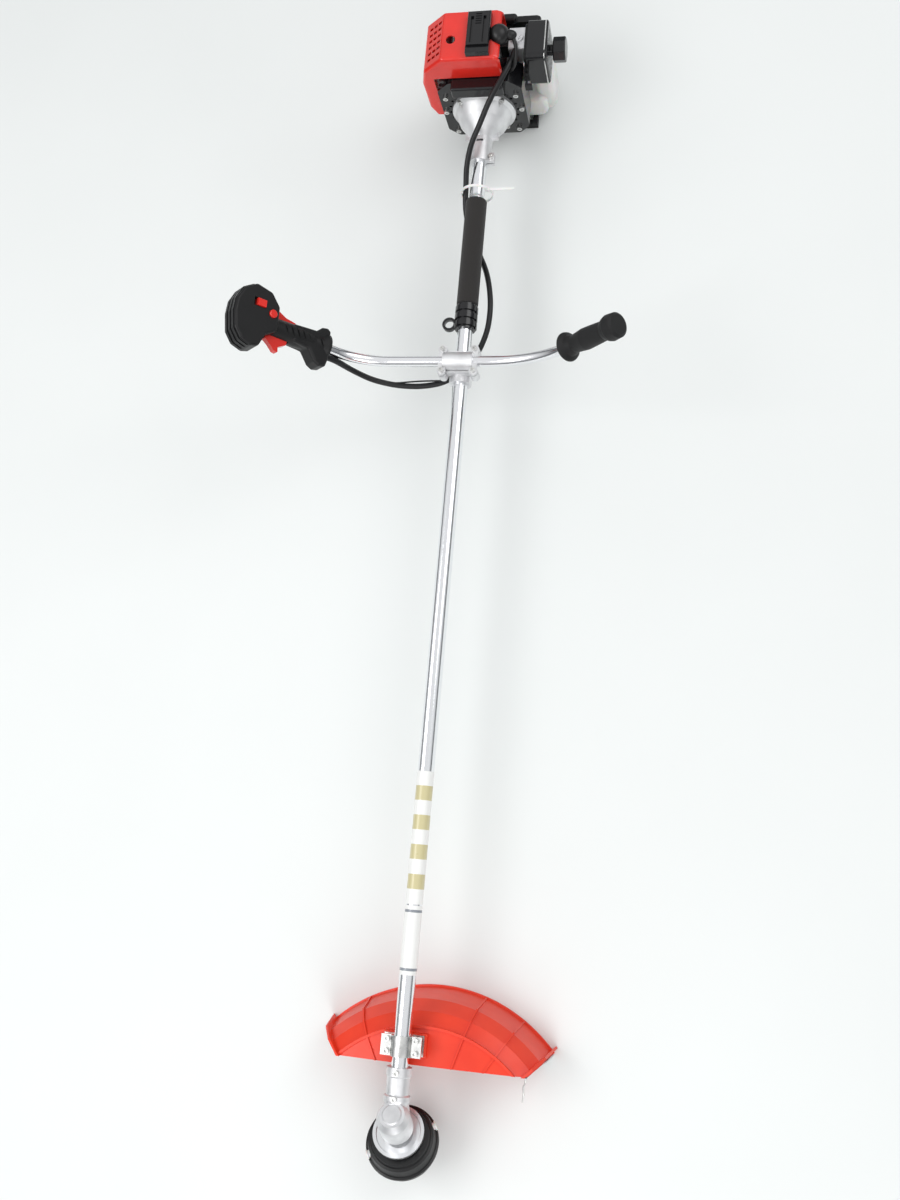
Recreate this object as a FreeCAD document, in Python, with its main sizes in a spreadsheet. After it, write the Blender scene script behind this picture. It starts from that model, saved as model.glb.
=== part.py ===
import FreeCAD, Part
import math
import os
import re
import Sketcher
from FreeCAD import Placement, Rotation, Vector

# Straight-shaft petrol brush cutter, lying as it is put down: the shaft runs along X with the
# trimmer head at +X and the engine at -X, Z is up and the throttle grip is on the -Y side.
# The numbers below are millimetres (degrees where the name says angle).  Places along the shaft
# are counted from the mouth of the clutch housing, towards the trimmer head; heights are
# counted from the shaft's centre line.

DIMENSIONS = {
    # the row's frame
    "axis_height": 132, "middle_x": 707.06, "middle_y": -30.23,
    # fits
    "run_gap": 0.05, 
    # shaft
    "tube_radius": 13, "tube_wall": 1.5, "tube_start": -36, "tube_end": 1524, "core_radius": 4,
    "bush_length": 24, "bush_first": 150, "bush_pitch": 240, "bush_count": 6,
    # clutch housing
    "mouth_radius": 18.5, "collar_start": -46, "cone_start": -98, "cone_radius": 50,
    "housing_face": -106, "flange_radius": 56, "drum_cave_radius": 41, "drum_cave_end": -76,
    "lug_width": 52, "lug_height": 15, "lug_length": 17, "split_width": 2.4,
    "screw_radius": 2.5, "screw_head_radius": 4.4, "screw_head_height": 5, "hex_radius": 2.1,
    "bolt_circle": 52,
    # clutch
    "drum_radius": 38.5, "drum_wall": 3, "drum_start": -113, "drum_floor": -88, "drum_hub": 9,
    "shoe_radius": 34.9, "shoe_hub": 11, "shoe_start": -112, "shoe_end": -92, "shoe_slot": 5,
    # fan cover, flywheel, crankcase
    "cover_back": -152, "cover_radius": 74, "cover_chin": 68, "brow_half": 46,
    "wheel_radius": 62, "wheel_back": -144, "wheel_face": -116, "wheel_web": 6, "vane_count": 16,
    "vane_thick": 2.2, "vane_length": 22,
    "case_back": -204, "case_half": 44, "case_floor": -44, "case_top": 46,
    "crank_radius": 8, "crank_back": -222, 
    # cylinder
    "cylinder_x": -176, "fin_half_x": 23, "fin_half_y": 34, "fin_thick": 1.8, "fin_pitch": 6.5,
    "fin_count": 11, "cylinder_radius": 23, "cylinder_top": 122, 
    
    # shroud, cover, muffler
    "shroud_back": -203, "shroud_front": -112, "shroud_left": -98, "shroud_right": 46,
    "shroud_low": -14, "shroud_top": 132, "shroud_wall": 2.5, 
    "vent_rows": 6, "vent_pitch": 12, "vent_height": 5, "vent_width": 6.5, 
    "plug_cover_back": -194, "plug_cover_front": -116, "plug_cover_left": -11,
    "plug_cover_right": 29, "plug_cover_top": 147, "plug_cover_low": 108, "plug_cover_ribs": 5,
    "muffler_back": -197, "muffler_front": -154, "muffler_left": -87, "muffler_right": -46,
    "muffler_low": 14, "muffler_top": 92,
    # recoil starter
    "starter_back": -246, "starter_radius": 62, "pulley_radius": 38,
    "pulley_front": -226, "pulley_back": -239, "handle_length": 44, 
    "rope_radius": 1.6, "handle_y": 38, "handle_z": 72,
    # intake side
    "carb_x": -186, "carb_z": 66, "carb_half_x": 21, "carb_half_z": 21, "carb_near": 50, "carb_middle": 64,
    "carb_far": 78, "insulator_near": 36, "filter_back": -216, "filter_front": -140,
    "filter_low": 14, "filter_high": 92, "filter_plate": 83, "filter_split": 93,
    "filter_far": 118, "filter_knob_x": -180, "filter_knob_z": 54, "filter_knob_radius": 21,
    "filter_knob_far": 146, "arm_length": 14, "choke_length": 26, "choke_x": -134,
    # tank and stand
    "tank_back": -256, "tank_front": -172, "tank_left": -80, "tank_right": 98,
    "tank_low": -119, "tank_top": -70, "tank_round": 16, "cap_x": -214, "cap_y": 92,
    "shoulder_left": 78, "shoulder_right": 112, "shoulder_top": -30, "shoulder_front": -184,
    "cap_radius": 17, "cap_height": 17, "neck_radius": 13, "neck_height": 6,
    "stand_low": -132, "stand_left": -62, "stand_right": 72, "stand_bar": 9, "post_x": -166,
    "line_radius": 2.2,
    # grip on the tube, harness hanger, label
    "foam_start": 73, "foam_end": 270, "foam_radius": 18.5, "hanger_start": 271,
    "hanger_end": 316, "hanger_radius": 17, "hanger_eye_x": 305, "hanger_eye_y": -28,
    "hanger_eye_radius": 12, "hanger_hole_radius": 7.5, "hanger_thick": 7,
    "label_start": 1062, "label_middle": 1265, "label_end": 1368, "label_thick": 0.35,
    "tie_x": 56, "tie_width": 4.6, "tie_thick": 1.6, "tie_tail": 54, "tie_ring_radius": 26.6,
    # handlebar and its clamp
    "bar_x": 385, "bar_z": 29, "bar_radius": 9, "bar_wall": 1.6, "bar_flat_left": -140,
    "bar_flat_right": 129, "left_reach_y": -260.7, "left_reach_z": 136.1,
    "left_mid_y": -186, "left_mid_z": 50, "right_reach_y": 262, "right_reach_z": 154,
    "clamp_length": 50, "clamp_radius": 15.5, "clamp_ear_x": 19, "clamp_ear_y": 27,
    "clamp_ear_radius": 7.5, "clamp_ear_thick": 7, "clamp_tube_radius": 19,
    "clamp_tube_back": 362, "clamp_tube_front": 415,
    # plain grip
    "grip_length": 118, "grip_radius": 15.5, "grip_flange_radius": 24, "grip_end_radius": 21,
    # throttle grip, counted along its own axis from where the bar enters
    "throttle_from_bend": 44, "throttle_neck_radius": 19,
    "throttle_grip_radius": 17, "throttle_grip_end": 104, "pod_start": 100, "pod_end": 178,
    "pod_back": -56, "pod_front": 50, "pod_half": 19, 
    # gearbox
    "corner_x": 1578, "spindle_angle": 59, "box_start": 1500, "box_radius": 17.5,
    "box_ring_radius": 19, "box_body_radius": 25, "box_top": -31, "box_floor": 29,
    "spindle_radius": 5,
    # flange, trimmer head
    "flange_start": 33, "flange_end": 41, "flange_plate_radius": 39, "head_start": 42,
    "head_shoulder_radius": 36, "head_wide_radius": 56, "head_skirt": 74, "head_end": 94,
    "knob_end": 108, "knob_radius": 28, "spool_radius": 44, "eyelet_radius": 5.5,
    # guard
    "guard_x": 1640, "guard_y": 30, "guard_rim_radius": 248, "guard_rim_z": -132,
    "guard_shoulder_radius": 196, "guard_shoulder_z": -30, "guard_inner_radius": 120,
    "guard_inner_z": -21, "guard_wall": 3, "guard_edge_x": 1499,
    "guard_left_angle": -44, "guard_right_angle": 48,
    "bracket_x": 1470, "bracket_length": 30, "bracket_width": 62, "bracket_thick": 4,
    "bracket_hole_x": 9, "bracket_hole_y": 22,
}

doc = FreeCAD.newDocument("brush_cutter")
sheet = doc.addObject("Spreadsheet::Sheet", "Dim")
for line, (alias, number) in enumerate(DIMENSIONS.items(), start=1):
    sheet.set(f"A{line}", alias)
    sheet.set(f"B{line}", str(number))
    sheet.setAlias(f"B{line}", alias)
doc.recompute()

WORD = re.compile(r"[a-z][a-z0-9_]{2,}")
FUNCTIONS = {"sin", "cos", "tan", "sqrt", "deg"}
TURN = {"x": Rotation(Vector(0, 0, 1), Vector(1, 0, 0)),
        "y": Rotation(Vector(0, 0, 1), Vector(0, 1, 0)),
        "z": Rotation()}
X, Y, Z = Vector(1, 0, 0), Vector(0, 1, 0), Vector(0, 0, 1)
NODES = {}
LOOSE_SCREWS = []
FLANGE_BOLT_ANGLES = (45, 135, 225, 315)
COVER_SCREW_PLACES = ((-62, 42), (-67.5, 4), (62, 42), (67.5, 4), (56, -52), (-56, -52))


# ---------------------------------------------------------------- ways of making a shape

def bound(text):
    """A size as an expression on the sheet: 'tube_radius + 2' reads Dim.tube_radius."""
    return WORD.sub(lambda w: w.group() if w.group() in FUNCTIONS else "Dim." + w.group(), text)


def size(text):
    """The number that an expression has now."""
    return float(text) if not isinstance(text, str) else float(sheet.evalExpression(bound(text)))


def point(x, y, z):
    return Vector(size(x), size(y), size(z))


def drive(thing, **sizes):
    """Bind properties to the sheet; Placement__Base__x means Placement.Base.x."""
    for path, text in sizes.items():
        thing.setExpression(path.replace("__", "."), bound(str(text)))
    return thing


SHAFT = Placement(Vector(-size("middle_x"), -size("middle_y"), size("axis_height")), Rotation())


def node(thing, label, home=SHAFT):
    """Make a finished shape one sub-part: its label names its file."""
    if any(path.lstrip(".").startswith("Placement") for path, text in thing.ExpressionEngine):
        thing = compound(thing)
    thing.Label = label
    thing.Placement = home.multiply(thing.Placement)
    NODES[label] = thing
    return thing


def locate(thing, at):
    return drive(thing, Placement__Base__x=at[0], Placement__Base__y=at[1], Placement__Base__z=at[2])


def box(low, high):
    thing = doc.addObject("Part::Box", "box")
    drive(thing, Length=f"({high[0]}) - ({low[0]})", Width=f"({high[1]}) - ({low[1]})",
          Height=f"({high[2]}) - ({low[2]})")
    return locate(thing, low)


def rod(at, axis, radius, length):
    """A cylinder that starts at a point and runs along +axis."""
    thing = doc.addObject("Part::Cylinder", "rod")
    thing.Placement = Placement(Vector(), TURN[axis])
    drive(thing, Radius=radius, Height=length)
    return locate(thing, at)


def fuse(*parts):
    thing = doc.addObject("Part::MultiFuse", "fuse")
    thing.Shapes = list(parts)
    thing.Refine = True
    return thing


def compound(*parts):
    """Separate solids of one kind, kept in one sub-part."""
    thing = doc.addObject("Part::Compound", "group")
    thing.Links = list(parts)
    return thing


def cut(base, *tools):
    thing = doc.addObject("Part::Cut", "cut")
    thing.Base = base
    thing.Tool = tools[0] if len(tools) == 1 else fuse(*tools)
    thing.Refine = True
    return thing


def common(base, tool):
    thing = doc.addObject("Part::Common", "common")
    thing.Base = base
    thing.Tool = tool
    return thing


def rounded(base, radius, chosen):
    """Fillet the edges that a test picks out of a shape."""
    doc.recompute()
    thing = doc.addObject("Part::Fillet", "rounded")
    thing.Base = base
    r = size(radius)
    thing.Edges = [(n, r, r) for n, edge in enumerate(base.Shape.Edges, start=1) if chosen(edge)]
    return thing


def along(axis):
    """Test for a straight edge that runs along an axis."""
    def test(edge):
        if not isinstance(edge.Curve, Part.Line):
            return False
        return abs(edge.tangentAt(edge.FirstParameter).dot(axis)) > 0.999
    return test


def solid(shape):
    """A shape from Part's own functions, for swept and toothed pieces."""
    thing = doc.addObject("Part::Feature", "made")
    thing.Shape = shape
    return thing


def turned_about(thing, axis, angle, centre=Vector()):
    """Turn a loose piece in place about an axis through a point."""
    spin = Placement(Vector(), Rotation(axis, angle), centre)
    if any(path.lstrip(".").startswith("Placement") for path, text in thing.ExpressionEngine):
        thing = compound(thing)
    thing.Placement = spin.multiply(thing.Placement)
    return thing


def origin_plane(body, role):
    return next(f for f in body.Origin.OriginFeatures if f.Role == role)


def outline(body, points, plane="XY_Plane"):
    """A closed sketch of straight lines whose corners are bound to the sheet."""
    sketch = body.newObject("Sketcher::SketchObject", "outline")
    sketch.AttachmentSupport = [(origin_plane(body, plane), "")]
    sketch.MapMode = "FlatFace"
    corners = [Vector(size(x), size(y), 0) for x, y in points]
    count = len(corners)
    sketch.addGeometry([Part.LineSegment(corners[i], corners[(i + 1) % count])
                        for i in range(count)], False)
    sketch.addConstraint([Sketcher.Constraint("Coincident", i, 2, (i + 1) % count, 1)
                          for i in range(count)])
    for i, (x, y) in enumerate(points):
        for way, text, number in (("DistanceX", x, corners[i].x), ("DistanceY", y, corners[i].y)):
            which = sketch.addConstraint(Sketcher.Constraint(way, -1, 1, i, 1, number))
            name = f"{way}_{i}"
            sketch.renameConstraint(which, name)
            sketch.setExpression(f"Constraints.{name}", bound(str(text)))
    return sketch


def turned(profile, axis="x", angle="360"):
    """A body turned about its own X axis from (place along the axis, radius) corners."""
    body = doc.addObject("PartDesign::Body", "turned")
    sketch = outline(body, profile)
    doc.recompute()
    turn = body.newObject("PartDesign::Revolution", "turn")
    turn.Profile = sketch
    turn.ReferenceAxis = (sketch, ["H_Axis"])
    drive(turn, Angle=angle)
    body.Tip = turn
    body.Placement = Placement(Vector(), {"x": Rotation(), "y": Rotation(Z, 90),
                                          "z": Rotation(Y, -90)}[axis])
    return body


def pad(points, low, high, plane="XY_Plane"):
    """A body padded between two distances from one of its own origin planes."""
    body = doc.addObject("PartDesign::Body", "padded")
    sketch = outline(body, points, plane)
    doc.recompute()
    feature = body.newObject("PartDesign::Pad", "pad")
    feature.Profile = sketch
    drive(feature, Length=f"({high}) - ({low})")
    body.Tip = feature
    lift = {"XY_Plane": Z, "XZ_Plane": -Y, "YZ_Plane": X}[plane]
    body.Placement = Placement(lift * size(low), Rotation())
    return body


def soften(body, radius, chosen):
    """Fillet edges of a body's last feature."""
    doc.recompute()
    base = body.Tip
    names = [f"Edge{n}" for n, edge in enumerate(base.Shape.Edges, start=1) if chosen(edge)]
    feature = body.newObject("PartDesign::Fillet", "softened")
    feature.Base = (base, names)
    drive(feature, Radius=radius)
    body.Tip = feature
    return body


def route(points, tight=0.45):
    """Straight runs joined by tangent arcs; each arc is as large as its two runs allow."""
    edges, radii, here = [], [], points[0]
    for before, corner, after in zip(points, points[1:], points[2:]):
        into, out = (corner - before), (after - corner)
        shorter = min(into.Length, out.Length)
        turn = into.getAngle(out)
        reach = tight * shorter
        radii.append(reach / math.tan(turn / 2))
        start = corner - into.normalize() * reach
        end = corner + out.normalize() * reach
        bulge = (start + end) * 0.5 - corner
        depth = radii[-1] / math.cos(turn / 2) - radii[-1]
        middle = corner + bulge.normalize() * depth
        edges += [Part.LineSegment(here, start).toShape(), Part.Arc(start, middle, end).toShape()]
        here = end
    edges.append(Part.LineSegment(here, points[-1]).toShape())
    return Part.Wire(edges), radii


def swept(points, radius, bore=0, tight=0.45, name=""):
    """A round tube or bar along a route, checked against section times length."""
    path, radii = route(points, tight)
    start, way = points[0], (points[1] - points[0]).normalize()

    def sweep(r):
        ring = Part.Wire([Part.makeCircle(r, start, way)])
        return path.makePipeShell([ring], True, False)

    shape = sweep(radius)
    expected = math.pi * radius ** 2 * path.Length
    if abs(shape.Volume - expected) > 0.01 * expected:
        raise ValueError(f"swept {name}: volume {shape.Volume:.0f}, expected {expected:.0f}")
    if name:
        print(name, "length", round(path.Length), "bend radii", [round(r) for r in radii])
    return solid(shape.cut(sweep(bore)) if bore else shape)


def screw(at, axis, length, radius="screw_radius", head="screw_head_radius",
          depth="screw_head_height"):
    """A socket screw: the shank runs along -axis from the point, the head stands along +axis."""
    way = {"x": 0, "y": 1, "z": 2}[axis]
    shank_at = list(at)
    shank_at[way] = f"({at[way]}) - ({length})"
    socket_at = list(at)
    socket_at[way] = f"({at[way]}) + ({depth}) * 0.45"
    return cut(fuse(rod(shank_at, axis, radius, length), rod(at, axis, head, depth)),
               rod(socket_at, axis, "hex_radius", depth))


# ---------------------------------------------------------------- shaft and what it carries

def make_shaft():
    tube = cut(rod(("tube_start", 0, 0), "x", "tube_radius", "tube_end - tube_start"),
               rod(("tube_start - 1", 0, 0), "x", "tube_radius - tube_wall",
                   "tube_end - tube_start + 2"))
    node(tube, "shaft_tube")
    bushes = []
    for number in range(int(size("bush_count"))):
        place = (f"bush_first + {number} * bush_pitch", 0, 0)
        bushes.append(cut(rod(place, "x", "tube_radius - tube_wall", "bush_length"),
                          rod(place, "x", "core_radius + run_gap", "bush_length")))
    node(compound(*bushes), "shaft_bushes")
    node(turned([("foam_start", "tube_radius"), ("foam_end", "tube_radius"),
                 ("foam_end", "foam_radius - 1"), ("foam_end - 2", "foam_radius"),
                 ("foam_start + 2", "foam_radius"), ("foam_start", "foam_radius - 1")]),
         "foam_grip")
    label = [("label_start", "tube_radius"), ("label_middle - 1", "tube_radius"),
             ("label_middle - 1", "tube_radius + label_thick"),
             ("label_start", "tube_radius + label_thick")]
    node(turned(label), "caution_label")
    node(turned([("label_middle + 1", "tube_radius"), ("label_end", "tube_radius"),
                 ("label_end", "tube_radius + label_thick"),
                 ("label_middle + 1", "tube_radius + label_thick")]), "maker_label")


def make_hanger():
    """The harness eye: a sleeve with three raised rings and a loop on its -Y side."""
    rings = [("hanger_start", "tube_radius")]
    rings += [("hanger_end", "tube_radius"), ("hanger_end", "hanger_radius")]
    for number in (2, 1, 0):
        start = f"hanger_start + 4 + {number} * 14"
        rings += [(f"{start} + 9", "hanger_radius"), (f"{start} + 9", "hanger_radius + 2.5"),
                  (start, "hanger_radius + 2.5"), (start, "hanger_radius")]
    rings.append(("hanger_start", "hanger_radius"))
    sleeve = turned(rings)
    low = "0 - hanger_thick / 2"
    eye = rod(("hanger_eye_x", "hanger_eye_y", low), "z", "hanger_eye_radius", "hanger_thick")
    web = box(("hanger_eye_x - hanger_thick", "hanger_eye_y", low),
              ("hanger_eye_x + hanger_thick", "0 - tube_radius - 1", "hanger_thick / 2"))
    hole = rod(("hanger_eye_x", "hanger_eye_y", "0 - hanger_thick"), "z", "hanger_hole_radius",
               "2 * hanger_thick")
    bore = rod(("hanger_start - 1", 0, 0), "x", "tube_radius", "hanger_end - hanger_start + 2")
    node(cut(fuse(sleeve, eye, web), hole, bore), "harness_hanger")


def make_tie():
    """Cable tie round the tube and the throttle cable beside it."""
    ring = turned([("tie_x", "tie_ring_radius"), ("tie_x + tie_width", "tie_ring_radius"),
                   ("tie_x + tie_width", "tie_ring_radius + tie_thick"),
                   ("tie_x", "tie_ring_radius + tie_thick")])
    tail = box(("tie_x", "tube_radius + 9", "tube_radius"),
               ("tie_x + tie_width", "tube_radius + tie_tail", "tube_radius + tie_thick"))
    head = box(("tie_x - 1", "tube_radius + 4", "tube_radius - 2"),
               ("tie_x + tie_width + 1", "tube_radius + 11", "tube_radius + 4"))
    node(fuse(ring, tail, head), "cable_tie")


# ---------------------------------------------------------------- handlebar

def bar_clamp_ears(low, high):
    ears = []
    for way_x in (-1, 1):
        for way_y in (-1, 1):
            ears.append(rod((f"bar_x + {way_x} * clamp_ear_x", f"{way_y} * clamp_ear_y", low),
                            "z", "clamp_ear_radius", f"({high}) - ({low})"))
    return ears


def make_bar_clamp():
    """Cast bracket: a collar on the tube, with the bar held across it under a cap."""
    collar = rod(("clamp_tube_back", 0, 0), "x", "clamp_tube_radius",
                 "clamp_tube_front - clamp_tube_back")
    bed = box(("bar_x - clamp_ear_x", "0 - clamp_ear_y", "tube_radius"),
              ("bar_x + clamp_ear_x", "clamp_ear_y", "bar_z - split_width / 2"))
    shell = rod(("bar_x", "0 - clamp_length / 2", "bar_z"), "y", "clamp_radius", "clamp_length")
    lower = box(("bar_x - 40", "0 - clamp_length", "0"),
                ("bar_x + 40", "clamp_length", "bar_z - split_width / 2"))
    bores = [rod(("clamp_tube_back - 1", 0, 0), "x", "tube_radius",
                 "clamp_tube_front - clamp_tube_back + 2"),
             rod(("bar_x", "0 - clamp_length", "bar_z"), "y", "bar_radius", "2 * clamp_length")]
    screw_bores = bar_clamp_holes("bar_z - 24", "bar_z + 40")
    node(cut(fuse(collar, bed, common(shell, lower),
                  *bar_clamp_ears("tube_radius - 5", "bar_z - split_width / 2")),
             *bores, *screw_bores), "bar_clamp_base")
    upper = box(("bar_x - 40", "0 - clamp_length", "bar_z + split_width / 2"),
                ("bar_x + 40", "clamp_length", "bar_z + 40"))
    dome = rod(("bar_x", "0 - clamp_length / 2", "bar_z"), "y", "clamp_radius", "clamp_length")
    arms = [box(("bar_x - clamp_ear_x", f"{way} * clamp_ear_y - 6", "bar_z + split_width / 2"),
                ("bar_x + clamp_ear_x", f"{way} * clamp_ear_y + 6", "bar_z + clamp_ear_thick"))
            for way in (-1, 1)]
    bar_bore = rod(("bar_x", "0 - clamp_length", "bar_z"), "y", "bar_radius", "2 * clamp_length")
    node(cut(fuse(common(dome, upper), *arms,
                  *bar_clamp_ears("bar_z + split_width / 2", "bar_z + clamp_ear_thick")),
             bar_bore, *bar_clamp_holes("bar_z", "bar_z + 40")), "bar_clamp_cap")
    node(compound(*[screw([f"bar_x + {a} * clamp_ear_x", f"{b} * clamp_ear_y",
                           "bar_z + clamp_ear_thick"], "z", "26")
                    for a in (-1, 1) for b in (-1, 1)]), "bar_clamp_screws")


def bar_clamp_holes(low, high):
    return [rod((f"bar_x + {a} * clamp_ear_x", f"{b} * clamp_ear_y", low), "z", "screw_radius",
                f"({high}) - ({low})") for a in (-1, 1) for b in (-1, 1)]


def make_handlebar():
    points = [point("bar_x", "left_reach_y", "left_reach_z"),
              point("bar_x", "left_mid_y", "left_mid_z"),
              point("bar_x", "bar_flat_left", "bar_z"),
              point("bar_x", "bar_flat_right", "bar_z"),
              point("bar_x", "right_reach_y", "right_reach_z")]
    node(swept(points, size("bar_radius"), size("bar_radius - bar_wall"), 0.42), "handlebar")


def right_grip_home():
    """Plain grip: its own X runs up the bar's right end."""
    end = point("bar_x", "right_reach_y", "right_reach_z")
    start = point("bar_x", "bar_flat_right", "bar_z")
    way = (end - start).normalize()
    turn = Rotation(way, Vector(), X, "XZY")
    return SHAFT.multiply(Placement(end - way * (size("grip_length") - 14), turn))


def make_plain_grip():
    profile = [(0, "bar_radius"), (0, "grip_flange_radius - 2"), (2, "grip_flange_radius"),
               (5, "grip_flange_radius - 1"), (9, "grip_radius + 2"), (20, "grip_radius - 1"),
               (45, "grip_radius + 2"), (70, "grip_radius + 1"), (88, "grip_radius"),
               (96, "grip_radius + 4"), (101, "grip_end_radius"),
               ("grip_length - 3", "grip_end_radius - 1"),
               ("grip_length", "grip_end_radius - 5"), ("grip_length", 0),
               ("grip_length - 13.6", 0), ("grip_length - 13.6", "bar_radius")]
    node(turned(profile), "plain_grip", right_grip_home())


# ---------------------------------------------------------------- throttle grip

def throttle_home():
    """Its own X runs out along the grip, Y towards the trimmer head, Z to the thumb side."""
    bend = point("bar_x", "left_mid_y", "left_mid_z")
    way = (point("bar_x", "left_reach_y", "left_reach_z") - bend).normalize()
    start = bend + way * size("throttle_from_bend")
    return SHAFT.multiply(Placement(start, Rotation(way, X, Vector(), "XYZ")))


THROTTLE = throttle_home()


def make_throttle_housing():
    neck = turned([(0, 0), (0, "throttle_neck_radius + 3"), (5, "throttle_neck_radius + 4"),
                   (12, "throttle_neck_radius - 1"), (30, "throttle_grip_radius - 1"),
                   (60, "throttle_grip_radius + 1"), ("throttle_grip_end", "throttle_grip_radius"),
                   ("pod_start + 8", "throttle_grip_radius"), ("pod_start + 8", 0)])
    pod = pad([("pod_start", "pod_back + 26"), ("pod_start + 16", "pod_back + 6"),
               ("pod_end - 34", "pod_back"), ("pod_end - 12", "pod_back + 14"),
               ("pod_end - 2", "pod_back + 34"), ("pod_end", 0), ("pod_end - 4", "pod_front - 22"),
               ("pod_end - 16", "pod_front - 6"), ("pod_end - 34", "pod_front"),
               ("pod_start + 30", "pod_front - 4"), ("pod_start + 20", "pod_front - 26"),
               ("pod_start", "12")], "0 - pod_half", "pod_half")
    soften(pod, 8, lambda e: along(Z)(e))
    soften(pod, 4, lambda e: abs(e.BoundBox.ZLength) < 0.01)
    lobes = pad([(0, -24), (6, -29), (16, -27), (26, -18), (70, -15), (70, 15), (40, 17),
                 (26, 36), (16, 41), (4, 38), (0, 24)], -15, 15)
    soften(lobes, 5, along(Z))
    soften(lobes, 5, lambda e: abs(e.BoundBox.ZLength) < 0.01)
    cuts = [rod((-2, 0, 0), "x", "bar_radius", "74"),
            box(("pod_start - 28", -2, -5.5),
                ("pod_start + 17.5", "pod_front", 5.5)),
            box(("pod_start - 42", "0 - throttle_grip_radius - 12", -4.5),
                ("pod_start + 8", "0 - throttle_grip_radius + 11", 4.5)),
            rod(("pod_start + 12", "-14", "pod_half - 13"), "z", "7.5", "16"),
            box(("pod_start + 26", "-32", "pod_half - 9"), ("pod_start + 47", "-18", "pod_half + 2"))]
    grooves = [box((f"20 + {n} * 10", "-30", "throttle_grip_radius - 1.2"),
                   (f"23 + {n} * 10", "30", "throttle_grip_radius + 6")) for n in range(7)]
    slanted = [turned_about(groove, Z, 25, Vector(55, 0, 0)) for groove in grooves]
    bands = []
    for low in (-13.5, -3, 7.5):
        band = pad([("pod_end - 40", "pod_back + 8"), ("pod_end - 33", "pod_back - 1"),
                    ("pod_end - 11", "pod_back + 13"), ("pod_end - 1", "pod_back + 34"),
                    ("pod_end + 1.2", 0), ("pod_end - 3", "pod_front - 21"),
                    ("pod_end - 15", "pod_front - 5"), ("pod_end - 33", "pod_front + 1"),
                    ("pod_end - 40", "pod_front - 8")], low, low + 6)
        bands.append(soften(band, 7, lambda e: along(Z)(e)
                            and e.BoundBox.XMin > size("pod_end - 34")))
    node(cut(fuse(neck, pod, lobes, *bands), *cuts, *slanted), "throttle_housing", THROTTLE)


def make_throttle_controls():
    """Trigger, lock-out lever, stop switch and the hold button."""
    trigger = pad([("pod_start - 26", "throttle_grip_radius - 5"),
                   ("pod_start + 14", "throttle_grip_radius - 5"),
                   ("pod_start + 15", "throttle_grip_radius + 6"),
                   ("pod_start + 6", "throttle_grip_radius + 12"),
                   ("pod_start - 4", "throttle_grip_radius + 22"),
                   ("pod_start - 11", "throttle_grip_radius + 23"),
                   ("pod_start - 10", "throttle_grip_radius + 14"),
                   ("pod_start - 24", "throttle_grip_radius + 6")], -5, 5)
    pivot = rod(("pod_start - 24", "throttle_grip_radius - 3", -5), "z", 2.5, 10)
    node(fuse(soften(trigger, 1.5, along(Z)), pivot), "throttle_trigger", THROTTLE)
    lever = pad([("pod_start - 38", "0 - throttle_grip_radius + 2"),
                 ("pod_start + 4", "0 - throttle_grip_radius + 2"),
                 ("pod_start + 4", "0 - throttle_grip_radius - 9"),
                 ("pod_start - 4", "0 - throttle_grip_radius - 14"),
                 ("pod_start - 20", "0 - throttle_grip_radius - 6"),
                 ("pod_start - 38", "0 - throttle_grip_radius - 3")], -4, 4)
    pin = rod(("pod_start - 35.5", "0 - throttle_grip_radius - 0.5", -4.4), "z", 2.4, 8.8)
    node(fuse(soften(lever, 1.5, along(Z)), pin), "lockout_lever", THROTTLE)
    knob = rod(("pod_start + 12", "-14", "pod_half - 8"), "z", "6.8", "11")
    node(rounded(knob, 1.5, lambda e: e.BoundBox.ZMax > size("pod_half + 2.9")),
         "hold_button", THROTTLE)
    rocker = box(("pod_start + 27", "-31", "pod_half - 8"),
                 ("pod_start + 42", "-19", "pod_half + 4"))
    node(rounded(rocker, 2, along(X)), "stop_switch", THROTTLE)


# ---------------------------------------------------------------- gearbox and trimmer head

HEAD = SHAFT.multiply(Placement(point("corner_x", 0, 0), Rotation(Y, size("spindle_angle"))))


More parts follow.
